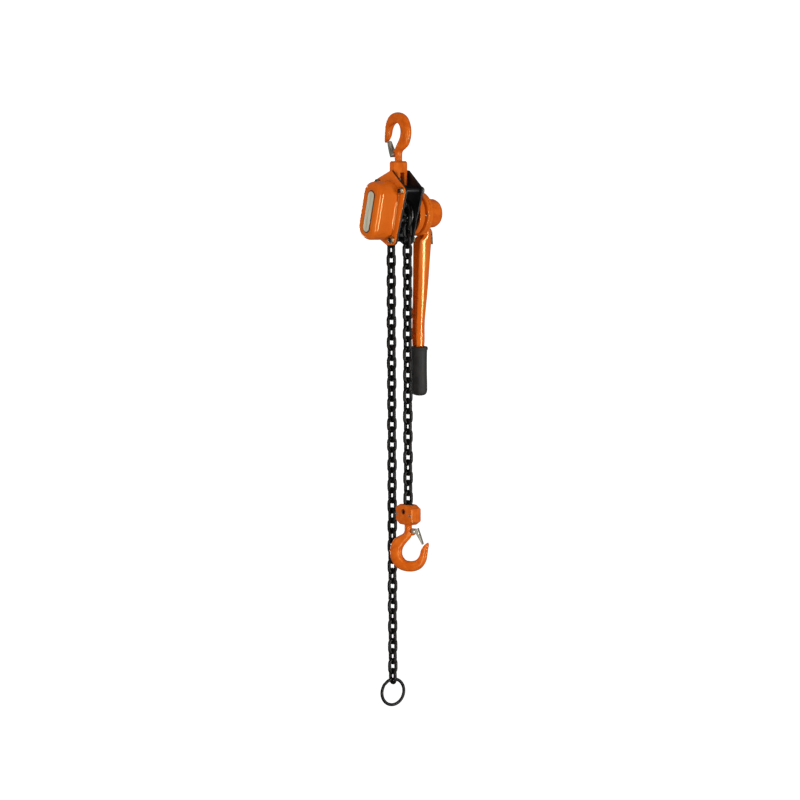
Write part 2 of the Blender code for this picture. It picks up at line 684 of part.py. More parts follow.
cup = [(23.5, 41.0), (43.0, 41.0), (HEAD_RADIUS, 43.0), (HEAD_RADIUS, 48.7), (41.5, 48.7), (41.5, 43.6),
       (23.5, 43.6)]
arm = loft([channel(*row) for row in ARM[2:]])
upper = bar(-62.0, -30.8, 55.4, 75.5, 14.0)
bridge = bar(-60.0, -43.0, 43.8, 48.7, 12.0)
tang = bar(-363.0, -273.0, 46.5, 55.5, 9.0)
root = bar(-279.0, -267.0, 43.0, 57.5, 10.4)
selector_hole = prism(circle(3.4, 10, 0, SELECTOR_Z), 40, 80)
head = fuse(turned(cup, 28, closed=True), bridge)
arm = fuse(arm, upper, root, tang, head)
add("lever_arm", cut(arm, selector_hole), "orange_paint", LEVER, 35)

lid = prism(circle(HEAD_RADIUS, 28), 49.0, 54.8, holes=[circle(12.5, 16), circle(3.6, 10, 0, SELECTOR_Z)])
slot = bar(-60.0, -46.0, 40.0, 60.0, 18.0)
add("lever_head_cover", cut(lid, slot), "orange_paint", LEVER, 40)
GRIP = [(-271.0, 12.2, 15.0), (-274.0, 15.8, 19.2), (-278.0, 15.8, 19.2), (-281.0, 14.4, 17.8), (-320.0, 14.2, 17.6),
        (-358.0, 14.6, 18.0), (-368.0, 12.6, 15.8), (-372.0, 8.0, 10.5)]
GRIP_X = 51.0
grip_rings = []
for z, deep, wide in GRIP:
    ring = []
    for i in range(14):
        angle = 2 * math.pi * i / 14
        ring.append((GRIP_X + deep * math.cos(angle), wide * math.sin(angle), z))
    grip_rings.append(ring)
socket = bar(-366.0, -270.0, 46.1, 55.9, 9.4)
throat = bar(-279.4, -270.0, 40.5, 59.7, 12.05)
add("lever_grip", cut(loft(grip_rings), socket, throat), "grip_rubber", LEVER, 40)

SELECTOR = make_frame("selector_frame", 0, 0, SELECTOR_Z, parent=LEVER)
knob_disc = prism(circle(7.4, 16), 75.8, 79.5)
stem = prism(circle(3.0, 10), 49.5, 76.5)
thumb = loft([[(78.5, -3.5, 2.0), (78.5, 3.5, 2.0), (84.5, 2.5, 0.5), (84.5, -2.5, 0.5)],
              [(76.5, -4.5, -24.0), (76.5, 4.5, -24.0), (85.5, 3.5, -26.0), (85.5, -3.5, -26.0)]])
add("selector_lever", fuse(knob_disc, stem, thumb), "bright_zinc", SELECTOR)
PAWL = make_frame("change_pawl_frame", 0, 0, SELECTOR_Z, parent=LEVER)
claw = [(-3.5, -3.2), (3.5, -3.2), (6.0, 1.0), (11.0, 14.6), (8.8, 15.4), (3.0, 7.0), (-3.0, 7.0), (-8.8, 15.4),
        (-11.0, 14.6), (-6.0, 1.0)]
add("change_pawl", prism(claw, 44.4, 48.2), "gear_steel", PAWL)

# ---------------------------------------------------------------- load chain and bottom hook

LOAD_Y = AXIS_Y - LOAD_OFFSET
FREE_Y = AXIS_Y + FREE_OFFSET
LEAD_INSIDE = PITCH + 2.6

lead = make_frame("load_lead_frame", 0, LOAD_Y, AXIS_Z)
add("load_lead_link", link_mesh(LEAD_INSIDE, "Y", shift(0, 0, -PITCH / 2)), "black_chain", lead, 50)
run = make_frame("load_run_frame", 0, LOAD_Y, AXIS_Z - PITCH)
add("load_chain", chain_run(2, LOAD_LINKS, 0, 0, "X"), "black_chain", run, 50)

LAST_JOINT = AXIS_Z - PITCH * LOAD_LINKS
CHAIN_PIN_Z = LAST_JOINT + 4.6
HOOK_SEAT_Z = CHAIN_PIN_Z - YOKE_PIN_ABOVE_SEAT
CHAIN_PIN = 3.7

bottom = make_frame("bottom_yoke_frame", 0, LOAD_Y, CHAIN_PIN_Z)


def bottom_yoke_half(side):
    """Half of the bottom yoke, with room for the last link, the pin, the shank and its nut."""
    corners = [(-27.5, 7.5), (-14.5, 14.5), (14.5, 14.5), (27.5, 7.5), (27.5, -19.0), (14.5, -27.0), (-14.5, -27.0),
               (-27.5, -19.0)]
    block = prism(corners, 0.15, 10.0)
    rim = loft([[(9.5, y, z) for y, z in corners], [(12.5, y * 0.94, -6.2 + (z + 6.2) * 0.92) for y, z in corners]])
    last_link_room = box(-4.6, 4.6, -15.5, 15.5, -12.5, 20.0)
    upper_link_room = box(-9.4, 9.4, -8.5, 8.5, 8.4, 20.0)
    bore = turned([(0, -40), (8.0, -40), (8.0, -10), (0, -10)], 16, ALONG_Z)
    room = turned([(0, -22.9), (10.9, -22.9), (10.9, -15.1), (0, -15.1)], 16, ALONG_Z)
    pin_hole = prism(circle(CHAIN_PIN + 0.3, 12), -1, 20)
    screw_holes = [prism(circle(2.4, 8, y, -6.0), -1, 20) for y in (-21.0, 21.0)]
    half = cut(fuse(block, rim), last_link_room, upper_link_room, bore, room, pin_hole, *screw_holes)
    if side < 0:
        half.transform(Matrix.Rotation(math.pi, 4, "Z"))
    return half


add("bottom_yoke_gear_half", bottom_yoke_half(-1), "orange_paint", bottom, 25)
add("bottom_yoke_lever_half", bottom_yoke_half(1), "orange_paint", bottom, 25)
add("chain_pin", prism(circle(CHAIN_PIN, 12), -12.2, 12.2), "grey_steel", bottom)
for side, y in (("front", -21.0), ("back", 21.0)):
    add("yoke_screw_" + side, prism(circle(2.1, 8, y, -6.0), -12.0, 12.0), "grey_steel", bottom)

HOOK_FRAME = make_frame("bottom_hook_frame", 0, LOAD_Y, HOOK_SEAT_Z, about_z=math.radians(-53))
add_hook("bottom", HOOK_FRAME, Matrix.Identity(4), 87.0)

# ---------------------------------------------------------------- free chain and end ring

lead = make_frame("free_lead_frame", 0, FREE_Y, AXIS_Z)
add("free_lead_link", link_mesh(LEAD_INSIDE, "X", shift(0, 0, -PITCH / 2)), "black_chain", lead, 50)
run = make_frame("free_run_frame", 0, FREE_Y, AXIS_Z - PITCH)
add("free_chain", chain_run(2, FREE_LINKS, 0, 0, "Y"), "black_chain", run, 50)

RING_PIVOT_Z = AXIS_Z - PITCH * FREE_LINKS
# the ring's wire lies on the last link's, and its plane is a little off square to that link's
RING_LIFT = 4.2
RING_TURN = math.radians(-4)
ring_frame = make_frame("end_ring_frame", 0, FREE_Y, RING_PIVOT_Z + RING_LIFT, about_z=RING_TURN)
ring_path = []
for i in range(28):
    angle = 2 * math.pi * i / 28
    ring_path.append((RING_RADIUS * math.sin(angle), 0.0, RING_RADIUS * math.cos(angle) - RING_RADIUS))
add("end_ring", tube(ring_path, RING_WIRE, cyclic=True, resolution=1), "black_chain", ring_frame, 50)

# cutters were all removed as they were used; keep their collection out of renders
SCRATCH.hide_render = True
bpy.context.view_layer.update()
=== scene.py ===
"""Looks of a lever chain hoist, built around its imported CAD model.

Axes are the model's: +Z up, +X along the drive axis from the gear cover to the lever, origin at the
seat of the top hook. Sizes are millimetres until a mesh is made. The casing has its own frame (across, up)
that leans about the drive axis; the two hooks have theirs (u away from the shank line, w up from the seat).
"""

import json
import math

import bmesh
import bpy
import numpy as np
from mathutils import Matrix, Vector


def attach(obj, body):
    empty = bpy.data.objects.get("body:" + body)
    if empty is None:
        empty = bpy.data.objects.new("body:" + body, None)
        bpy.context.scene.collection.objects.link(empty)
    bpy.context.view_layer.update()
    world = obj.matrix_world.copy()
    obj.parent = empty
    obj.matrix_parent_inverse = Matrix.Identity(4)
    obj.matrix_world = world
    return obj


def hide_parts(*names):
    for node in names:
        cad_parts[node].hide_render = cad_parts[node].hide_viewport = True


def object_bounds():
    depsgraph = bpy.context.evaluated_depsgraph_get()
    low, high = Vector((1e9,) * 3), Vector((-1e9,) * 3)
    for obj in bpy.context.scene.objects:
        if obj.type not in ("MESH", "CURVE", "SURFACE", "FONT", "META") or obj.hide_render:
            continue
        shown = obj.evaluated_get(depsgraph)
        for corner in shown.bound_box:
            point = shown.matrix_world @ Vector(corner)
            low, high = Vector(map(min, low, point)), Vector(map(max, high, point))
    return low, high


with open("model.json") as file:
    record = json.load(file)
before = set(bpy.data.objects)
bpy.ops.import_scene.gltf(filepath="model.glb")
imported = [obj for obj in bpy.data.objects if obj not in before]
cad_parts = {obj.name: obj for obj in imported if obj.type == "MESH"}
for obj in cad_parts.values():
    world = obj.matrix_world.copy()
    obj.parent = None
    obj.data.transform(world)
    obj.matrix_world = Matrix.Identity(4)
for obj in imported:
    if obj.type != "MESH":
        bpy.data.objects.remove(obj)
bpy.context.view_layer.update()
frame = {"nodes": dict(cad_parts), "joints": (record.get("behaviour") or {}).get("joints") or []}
JOINTS = {joint["name"]: joint for joint in frame["joints"]}

MM = 0.001
TAU = 2 * math.pi


def joint_at(name):
    """Where a joint is, in millimetres."""
    return np.array(JOINTS[name]["pos_m"]) / MM


# ---------------------------------------------------------------- driving dimensions

LEAN = math.radians(15.5)
AXIS = joint_at("sheave_turn")
LOAD_Y = joint_at("load_swing")[1]
FREE_Y = joint_at("free_swing")[1]

WIRE = 7.1
PITCH = 21.0
LINK_BEND = (9.3 + WIRE) / 2
POCKETS = 4
LOAD_LINKS = 29
FREE_LINKS = 46

PLATE_CORNERS = [(-40.0, 64.0), (17.5, 87.5), (59.0, 57.0), (59.0, -54.0), (14.0, -58.5), (-8.0, -62.5),
                 (-34.5, -54.5)]
PLATE_RADII = [10.5, 6.0, 8.0, 12.0, 20.0, 10.0, 11.0]
BOLTS = {"front_top": (-28.5, 58.0), "front_bottom": (-24.5, -46.0), "back_top": (50.0, 52.0),
         "back_bottom": (48.0, -46.0)}
NUT_FLATS = 13.0
# from low to high along the drive axis
FLANGE = (-25.0, -22.3)
GEAR_NUT, GEAR_WASHER = (-31.6, -25.9), (-25.9, -25.1)
LEVER_NUT, LEVER_WASHER = (22.9, 28.6), (22.1, 22.9)
COVER_CORNERS = [(-24.0, 66.5), (37.0, 66.5), (37.0, -54.0), (-24.0, -54.0)]
COVER_RADII = [27.0, 28.0, 28.0, 29.5]
COVER_FACE = -74.0
COVER_ROLL = 12.0
COVER_CROWN = 0.35
HEAD_RADIUS = 45.0
COVER_SCREW_CIRCLE = 40.4
HEAD_SCREW_CIRCLE = 38.5
KNOB_RADIUS = 29.3
GRIP_CENTRE = 51.0
# middle of the latch pin in a hook's own frame
EAR = (12.5, 62.0)


# ---------------------------------------------------------------- frames

def turn_about(axis, angle):
    """4x4 turn about X, Y or Z, as Rodrigues' formula gives it for a unit axis."""
    made = np.eye(4)
    i, j = [(1, 2), (2, 0), (0, 1)]["XYZ".index(axis)]
    made[i, i] = made[j, j] = math.cos(angle)
    made[i, j], made[j, i] = -math.sin(angle), math.sin(angle)
    return made


def at(x, y, z):
    """4x4 shift by x, y and z."""
    made = np.eye(4)
    made[:3, 3] = (x, y, z)
    return made


def placed(points, matrix):
    """Points carried by a 4x4 matrix: the turn, then the shift."""
    return points @ matrix[:3, :3].T + matrix[:3, 3]


UPRIGHT = np.eye(4)
# drawing plane (u, v) and height become (y, z) and x
ALONG_X = np.array([[0, 0, 1, 0], [1, 0, 0, 0], [0, 1, 0, 0], [0, 0, 0, 1.0]])
# drawing plane (u, v) and height become (x, z) and -y
FACING = np.array([[1, 0, 0, 0], [0, 0, -1, 0], [0, 1, 0, 0], [0, 0, 0, 1.0]])
CASING = at(*AXIS) @ turn_about("X", LEAN)
LEVER = at(*AXIS)
TOP_HOOK = turn_about("Z", math.radians(90)) @ np.diag([1.0, -1.0, -1.0, 1.0])
BOTTOM_SEAT = joint_at("bottom_latch_hinge")[2] - EAR[1]
BOTTOM_HOOK = at(0, LOAD_Y, BOTTOM_SEAT) @ turn_about("Z", math.radians(-53))


# ---------------------------------------------------------------- outlines

def eased(points, radii, steps=6, closed=True):
    """Polygon with true arcs at its corners. Each arc is the rational quadratic curve from one tangent
    point a to the next b, (a(1-s)^2 + 2ws(1-s)c + bs^2) / ((1-s)^2 + 2ws(1-s) + s^2), with c the corner and
    w the sine of half its angle."""
    points = np.asarray(points, float)
    back = np.roll(points, 1, axis=0) - points
    ahead = np.roll(points, -1, axis=0) - points
    back_length = np.linalg.norm(back, axis=1, keepdims=True)
    ahead_length = np.linalg.norm(ahead, axis=1, keepdims=True)
    cosine = np.sum(back * ahead, axis=1, keepdims=True) / (back_length * ahead_length)
    half = np.arccos(np.clip(cosine, -1, 1)) / 2
    room = 0.49 * np.minimum(back_length, ahead_length)
    reach = np.minimum(np.broadcast_to(np.reshape(radii, (-1, 1)), half.shape) / np.tan(half), room)
    first = points + back * (reach / back_length)
    last = points + ahead * (reach / ahead_length)
    s = np.linspace(0, 1, steps)[None, :, None]
    weight = np.sin(half)[:, None]
    top = first[:, None] * (1 - s) ** 2 + 2 * weight * s * (1 - s) * points[:, None] + last[:, None] * s ** 2
    made = top / ((1 - s) ** 2 + 2 * weight * s * (1 - s) + s ** 2)
    if closed:
        return made.reshape(-1, 2)
    return np.vstack([points[:1], made[1:-1].reshape(-1, 2), points[-1:]])


def inset(outline, distance):
    """Closed anticlockwise outline moved inwards along its own normals, each one the chord between its
    neighbours turned a quarter."""
    along = np.roll(outline, -1, axis=0) - np.roll(outline, 1, axis=0)
    along /= np.linalg.norm(along, axis=1, keepdims=True)
    return outline + distance * np.stack([-along[:, 1], along[:, 0]], axis=1)


def filled_in(outline, spacing):
    """Closed outline with points added so that none are further apart than the spacing."""
    length = np.linalg.norm(np.roll(outline, -1, axis=0) - outline, axis=1)
    station = np.concatenate([[0.0], np.cumsum(length)])
    extra = np.arange(0.0, station[-1], spacing)
    stations = np.unique(np.concatenate([station[:-1], extra]).round(4))
    stations = stations[np.concatenate([np.diff(stations) > 0.3, [True]])]
    closed = np.vstack([outline, outline[:1]])
    return np.column_stack([np.interp(stations, station, closed[:, k]) for k in (0, 1)])


def anticlockwise(outline):
    """Outline turned the other way where its area, half the sum of x y' - x' y, comes out negative."""
    x, y = outline[:, 0], outline[:, 1]
    area = np.sum(x * np.roll(y, -1) - np.roll(x, -1) * y)
    return outline if area > 0 else outline[::-1]


def ring_of(count):
    """Even angles once round, in radians."""
    return TAU * np.arange(count) / count


def circle(radius, count, centre=(0.0, 0.0)):
    """Even points at the centre plus radius times (cosine, sine) of their angle."""
    angle = ring_of(count)
    return np.stack([centre[0] + radius * np.cos(angle), centre[1] + radius * np.sin(angle)], axis=1)


def flowing(rows, steps):
    """Catmull-Rom spline through rows of numbers: steps new rows between each pair of given ones."""
    rows = np.asarray(rows, float)
    padded = np.vstack([2 * rows[0] - rows[1], rows, 2 * rows[-1] - rows[-2]])
    before, here, there, after = padded[:-3], padded[1:-2], padded[2:-1], padded[3:]
    t = np.linspace(0, 1, steps, endpoint=False)[None, :, None]
    before, here, there, after = (part[:, None] for part in (before, here, there, after))
    made = 0.5 * (2 * here + (there - before) * t + (2 * before - 5 * here + 4 * there - after) * t ** 2
                  + (3 * here - before - 3 * there + after) * t ** 3)
    return np.vstack([made.reshape(-1, rows.shape[1]), rows[-1:]])


# ---------------------------------------------------------------- skins: (points, faces)

def skin_over(rings, loop=False, ends="pole"):
    """Closed skin over rings of points. The last ring joins the first, or each end closes on one flat face,
    or on a pole at the end ring's middle. The skin is turned right side out by the sign of its volume."""
    count, around = rings.shape[:2]
    index = np.arange(count * around).reshape(count, around)
    low, high = (index, np.roll(index, -1, axis=0)) if loop else (index[:-1], index[1:])
    quads = np.stack([low, np.roll(low, -1, axis=1), np.roll(high, -1, axis=1), high], axis=-1)
    quads = quads.reshape(-1, 4)
    points = rings.reshape(-1, 3)
    faces = quads.tolist()
    if not loop and ends == "face":
        faces += [index[0][::-1].tolist(), index[-1].tolist()]
    elif not loop:
        points = np.vstack([points, rings[0].mean(axis=0), rings[-1].mean(axis=0)])
        first = np.full(around, count * around)
        faces += np.stack([np.roll(index[0], -1), index[0], first], axis=1).tolist()
        faces += np.stack([index[-1], np.roll(index[-1], -1), first + 1], axis=1).tolist()
    a, b, c, d = (points[quads[:, k]] - points.mean(axis=0) for k in range(4))
    volume = np.sum(np.cross(a, b) * c) + np.sum(np.cross(a, c) * d)
    if volume < 0:
        faces = [face[::-1] for face in faces]
    return points, faces


def revolved(profile, steps, matrix=UPRIGHT, radius=0.8, closed=False, arc_steps=4):
    """Profile of (radius, height), its corners eased, carried round the height axis."""
    line = eased(profile, radius, arc_steps, closed)
    angle = ring_of(steps)[None, :]
    out, up = line[:, :1], line[:, 1:]
    rings = np.stack([out * np.cos(angle), out * np.sin(angle), np.broadcast_to(up, (len(line), steps))],
                     axis=-1)
    return skin_over(placed(rings, matrix), loop=closed)


def slab(outline, low, high, edge, matrix=UPRIGHT, arc_steps=4):
    """Flat outline with thickness, both its edges rounded as quarter circles of radius edge."""
    outline = anticlockwise(np.asarray(outline, float))
    bend = np.linspace(0, math.pi / 2, arc_steps)
    drawn_in = edge * (1 - np.sin(bend))
    height = edge * (1 - np.cos(bend))
    levels = [(d, low + h) for d, h in zip(drawn_in, height)]
    levels += [(d, high - h) for d, h in zip(drawn_in[::-1], height[::-1])]
    rings = []
    for distance, level in levels:
        flat = inset(outline, distance)
        rings.append(np.column_stack([flat, np.full(len(flat), level)]))
    return skin_over(placed(np.array(rings), matrix), ends="face")


def wire(path, radius, sides, reference, loop=False, matrix=UPRIGHT):
    """Round wire along a path. At each point the section's first axis is reference x tangent; radius may be
    one number or one for each point."""
    path = np.asarray(path, float)
    if loop:
        tangent = np.roll(path, -1, axis=0) - np.roll(path, 1, axis=0)
    else:
        tangent = np.gradient(path, axis=0)
    tangent /= np.linalg.norm(tangent, axis=1, keepdims=True)
    side = np.cross(np.asarray(reference, float), tangent)
    side /= np.linalg.norm(side, axis=1, keepdims=True)
    other = np.cross(tangent, side)
    angle = ring_of(sides)[None, :, None]
    thick = np.reshape(np.broadcast_to(radius, len(path)), (-1, 1, 1))
    rings = path[:, None] + thick * (np.cos(angle) * side[:, None] + np.sin(angle) * other[:, None])
    return skin_over(placed(rings, matrix), loop=loop)


def gathered(skins):
    """Several skins as one."""
    points, faces, start = [], [], 0
    for some_points, some_faces in skins:
        points.append(some_points)
        faces += [[index + start for index in face] for face in some_faces]
        start += len(some_points)
    return np.vstack(points), faces


# ---------------------------------------------------------------- materials

def linear(code):
    """sRGB hex colour as linear RGBA."""
    values = [int(code[i:i + 2], 16) / 255 for i in (1, 3, 5)]
    return tuple(v / 12.92 if v <= 0.04045 else ((v + 0.055) / 1.055) ** 2.4 for v in values) + (1.0,)


def add_node(tree, kind, inputs=None, **settings):
    """Add a node. Its settings are its own properties; inputs give each socket a value or a link, which is
    written (node, output)."""
    made = tree.nodes.new(kind)
    for name, value in settings.items():
        setattr(made, name, value)
    for socket, value in (inputs or {}).items():
        if isinstance(value, tuple) and isinstance(value[0], bpy.types.Node):
            tree.links.new(value[0].outputs[value[1]], made.inputs[socket])
        else:
            made.inputs[socket].default_value = value
    return made


def grain(tree, millimetres, detail=3.0, stretch=(1.0, 1.0, 1.0)):
    """Noise on the piece's own coordinates, its features of the size given. A stretch below one draws them
    out along that axis."""
    place = add_node(tree, "ShaderNodeTexCoord")
    mapped = add_node(tree, "ShaderNodeMapping", {"Vector": (place, "Object"), "Scale": stretch})
    return add_node(tree, "ShaderNodeTexNoise", {"Vector": (mapped, "Vector"), "Scale": 1000.0 / millimetres,
                                                 "Detail": detail, "Roughness": 0.55})


def blend_of(tree, driver, low, high, colours):
    """Colour ramp between two linear colours as the driver goes from low to high."""
    ramp = add_node(tree, "ShaderNodeValToRGB", {"Fac": driver})
    for element, position, colour in zip(ramp.color_ramp.elements, (low, high), colours):
        element.position = position
        element.color = colour
    return ramp


def spread(tree, driver, low, high):
    """Number that runs from low to high as the noise runs over its usual middle."""
    return add_node(tree, "ShaderNodeMapRange", {"Value": driver, "From Min": 0.3, "From Max": 0.7,
                                                 "To Min": low, "To Max": high})


def finish_of(name, colours, patch, rough, texture, bump, metallic=0.0, stretch=(1, 1, 1), specular=0.5,
              tint="#FFFFFF"):
    """Surface of one real finish. Its colour drifts between two tones over patches, its roughness drifts
    with them, and a finer grain of the real grit gives it relief. patch, texture and bump are the patches'
    size, the grain's size and the relief's height in millimetres; tint colours what a paint mirrors."""
    material = bpy.data.materials.new(name)
    material.use_nodes = True
    tree = material.node_tree
    shader = tree.nodes["Principled BSDF"]
    broad = grain(tree, patch, 4.0, stretch)
    fine = grain(tree, texture, 2.0, stretch)
    tone = blend_of(tree, (broad, "Fac"), 0.35, 0.68, [linear(code) for code in colours])
    tree.links.new(tone.outputs["Color"], shader.inputs["Base Color"])
    shine = spread(tree, (broad, "Fac"), *rough)
    tree.links.new(shine.outputs["Result"], shader.inputs["Roughness"])
    relief = add_node(tree, "ShaderNodeBump", {"Height": (fine, "Fac"), "Strength": 1.0,
                                               "Distance": bump * MM})
    tree.links.new(relief.outputs["Normal"], shader.inputs["Normal"])
    shader.inputs["Metallic"].default_value = metallic
    if metallic == 0.0:
        shader.inputs["Specular IOR Level"].default_value = specular
        shader.inputs["Specular Tint"].default_value = linear(tint)
    return material


MATERIALS = {
    # alkyd enamel sprayed on pressed sheet: smooth, glossy, faint orange peel about 2 mm across
    "enamel_on_sheet": finish_of("enamel_on_sheet", ("#CE5C0E", "#D76612"), 60, (0.13, 0.18), 2.2, 0.010,
                                 specular=0.95, tint="#FFE2A0"),
    # the same enamel over a forging: the scale pits of the forging, about 3 mm across, still show through it
    "enamel_on_forging": finish_of("enamel_on_forging", ("#C4530D", "#D86614"), 14, (0.17, 0.25), 3.2, 0.05,
                                   tint="#FFE6A6"),
    # stoved black enamel on plate: near black with a soft sheen
    "black_enamel": finish_of("black_enamel", ("#0D0D0E", "#19191B"), 25, (0.34, 0.46), 1.6, 0.01),
    # black-oxidised, oiled alloy steel of the chain: dark metal, uneven where the oil has run
    "black_oxide": finish_of("black_oxide", ("#171615", "#2B2A29"), 6, (0.30, 0.48), 1.0, 0.02,
                             metallic=0.75),
    # bright zinc with a pale yellow chromate: small warm and cool patches
    "yellow_zinc": finish_of("yellow_zinc", ("#B9AE86", "#D8D2B4"), 5, (0.18, 0.32), 0.8, 0.008,
                             metallic=1.0),
    # cold-rolled sheet for latches, pins and screws: grey, with fine rolling marks along it
    "rolled_steel": finish_of("rolled_steel", ("#9B9586", "#C6C0B0"), 8, (0.32, 0.46), 0.7, 0.01,
                              metallic=0.7, stretch=(1, 1, 0.25)),
    # hobbed and ground alloy steel of the gears
    "cut_steel": finish_of("cut_steel", ("#6C6A67", "#8E8B86"), 5, (0.28, 0.4), 0.6, 0.01, metallic=1.0),
    # rolled aluminium, brushed lengthways: satin with long fine lines
    "brushed_aluminium": finish_of("brushed_aluminium", ("#CBC3AA", "#DFD8C2"), 10, (0.40, 0.52), 0.7, 0.012,
                                   metallic=0.3, stretch=(1, 1, 0.06)),
    # painted shade round the rating plate: a matt black standing in for the shade of the recess the plate
    # sits in
    "plate_ink": finish_of("plate_ink", ("#1B1A18", "#2A2826"), 6, (0.5, 0.65), 0.6, 0.005),
    # compression-moulded nitrile rubber: charcoal, dull, fine pebble of the mould
    "moulded_rubber": finish_of("moulded_rubber", ("#1B1A19", "#292726"), 18, (0.55, 0.72), 1.3, 0.05,
                                specular=0.4),
    # phenolic friction lining: brown with pale fibres
    "friction_lining": finish_of("friction_lining", ("#3A281F", "#5A4335"), 2, (0.8, 0.92), 0.6, 0.03),
    # cast bearing bronze, turned
    "bearing_bronze": finish_of("bearing_bronze", ("#8A6533", "#A87F45"), 4, (0.3, 0.42), 0.5, 0.01,
                                metallic=1.0),
}
# the finish of each slot on the CAD nodes that stay in view
KEPT_FINISH = {"orange_paint": "enamel_on_forging", "black_paint": "black_enamel",
               "black_chain": "black_oxide", "bright_zinc": "yellow_zinc", "grey_steel": "rolled_steel",
               "gear_steel": "cut_steel", "plate_alloy": "brushed_aluminium",
               "grip_rubber": "moulded_rubber", "brake_lining": "friction_lining",
               "bearing_bronze": "bearing_bronze"}


# ---------------------------------------------------------------- pieces

def piece(name, skins, finish, body, stands_for=(), sharp=40.0):
    """A finished piece: its skins as one mesh in metres, riding on a body and standing for CAD nodes."""
    points, faces = gathered(skins)
    mesh = bpy.data.meshes.new(name)
    mesh.from_pydata((points * MM).tolist(), [], faces)
    mesh.materials.append(MATERIALS[finish])
    mesh.shade_smooth()
    mesh.set_sharp_from_angle(angle=math.radians(sharp))
    made = bpy.data.objects.new(name, mesh)
    bpy.context.scene.collection.objects.link(made)
    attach(made, body)
    if stands_for:
        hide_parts(*stands_for)
    return made


def softened(node, finish, body, width, sharp=40.0):
    """A CAD node's own solid with its edges broken by a small bevel, width in millimetres."""
    mesh = frame["nodes"][node].data.copy()
    work = bmesh.new()
    work.from_mesh(mesh)
    bmesh.ops.remove_doubles(work, verts=work.verts, dist=0.00002)
    bmesh.ops.dissolve_limit(work, angle_limit=math.radians(2.0), verts=work.verts, edges=work.edges)
    work.to_mesh(mesh)
    work.free()
    mesh.materials.clear()
    mesh.materials.append(MATERIALS[finish])
    mesh.shade_smooth()
    mesh.set_sharp_from_angle(angle=math.radians(sharp))
    made = bpy.data.objects.new(node + "_edged", mesh)
    bpy.context.scene.collection.objects.link(made)
    bevel = made.modifiers.new("Bevel", "BEVEL")
    bevel.width = width * MM
    bevel.segments = 2
    bevel.limit_method = "ANGLE"
    bevel.angle_limit = math.radians(35)
    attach(made, body)
    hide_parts(node)
    return made


# ---------------------------------------------------------------- chains

def link_skin(matrix, plane, inside=PITCH, sides=12, steps=10):
    """One welded link: a wire round a stadium, two half circles joined by straights. The wire swells by a
    Gaussian of 4% at the middle of one straight, where its ends were welded."""
    straight = (inside + WIRE) / 2 - LINK_BEND
    half = np.linspace(0, math.pi, steps)
    weld = np.linspace(straight, -straight, 7)[1:-1]
    across = np.concatenate([LINK_BEND * np.cos(half), np.full(5, -LINK_BEND), -LINK_BEND * np.cos(half),
                             np.full(5, LINK_BEND)])
    crown = straight + LINK_BEND * np.sin(half)
    up = np.concatenate([crown, weld, -crown, -weld])
    flat = np.zeros_like(across)
    path = np.stack([across, flat, up] if plane == "X" else [flat, across, up], axis=1)
    reference = (0, 1, 0) if plane == "X" else (1, 0, 0)
    swelling = 0.04 * np.exp(-(up / 2.2) ** 2) * (across < 0)
    return wire(path, WIRE / 2 * (1 + swelling), sides, reference, True, matrix)


def hanging_links(first, last, y, plane_of_first):
    """Links first to last below the drive axis, each turned a quarter to the one above and a little
    astray."""
    astray = np.random.default_rng(7).uniform(-0.045, 0.045, last + 1)
    skins = []
    for number in range(first, last + 1):
        same = (number - first) % 2 == 0
        plane = plane_of_first if same else {"X": "Y", "Y": "X"}[plane_of_first]
        middle = at(0, y, AXIS[2] - PITCH * (number - 0.5)) @ turn_about("Z", astray[number])
        skins.append(link_skin(middle, plane))
    return skins


piece("load_chain_links", hanging_links(2, LOAD_LINKS, LOAD_Y, "X"), "black_oxide", "load_run",
      ["load_chain"])
piece("free_chain_links", hanging_links(2, FREE_LINKS, FREE_Y, "Y"), "black_oxide", "free_run",
      ["free_chain"])
for lead, y, plane in (("load_lead", LOAD_Y, "Y"), ("free_lead", FREE_Y, "X")):
    lead_link = link_skin(at(0, y, AXIS[2] - PITCH / 2), plane, PITCH + 2.6)
    piece(lead + "_detail", [lead_link], "black_oxide", lead, [lead + "_link"])

# the links round the sheave are the sides of a polygon, each one a pitch long
joint_radius = PITCH / (2 * math.sin(math.pi / (2 * POCKETS)))
link_radius = joint_radius * math.cos(math.pi / (2 * POCKETS))
wrapped = []
for degrees, plane in ((157.5, "X"), (112.5, "Y"), (67.5, "X"), (22.5, "Y")):
    seat = at(*AXIS) @ turn_about("X", math.radians(degrees)) @ at(0, link_radius, 0)
    wrapped.append(link_skin(seat, plane, PITCH - 0.2))
piece("wrapped_chain_links", wrapped, "black_oxide", "load_sheave", ["sheave_links"])

RING_RADIUS = 26.95
RING_WIRE = 3.3
ring_joint = joint_at("end_ring_swing")
ring_frame = at(*ring_joint) @ turn_about("Z", math.radians(-4))
# the ring's ends were rolled past each other a little and meet side by side at the upper front
ring_turn = np.linspace(math.radians(-52), math.radians(322), 96)
taper = math.radians(18)
from_end = np.minimum(ring_turn - ring_turn[0], ring_turn[-1] - ring_turn)
thinned = 1 - np.clip((taper - from_end) / taper, 0, 1) ** 2 * 0.45
beside = 1.5 * np.linspace(-1, 1, 96) ** 15
ring_path = np.stack([RING_RADIUS * np.sin(ring_turn), beside,
                      RING_RADIUS * np.cos(ring_turn) - RING_RADIUS], axis=1)
piece("end_ring_wire", [wire(ring_path, RING_WIRE * thinned, 16, (0, 1, 0), False, ring_frame)],
      "black_oxide", "end_ring", ["end_ring"])

# ---------------------------------------------------------------- hooks

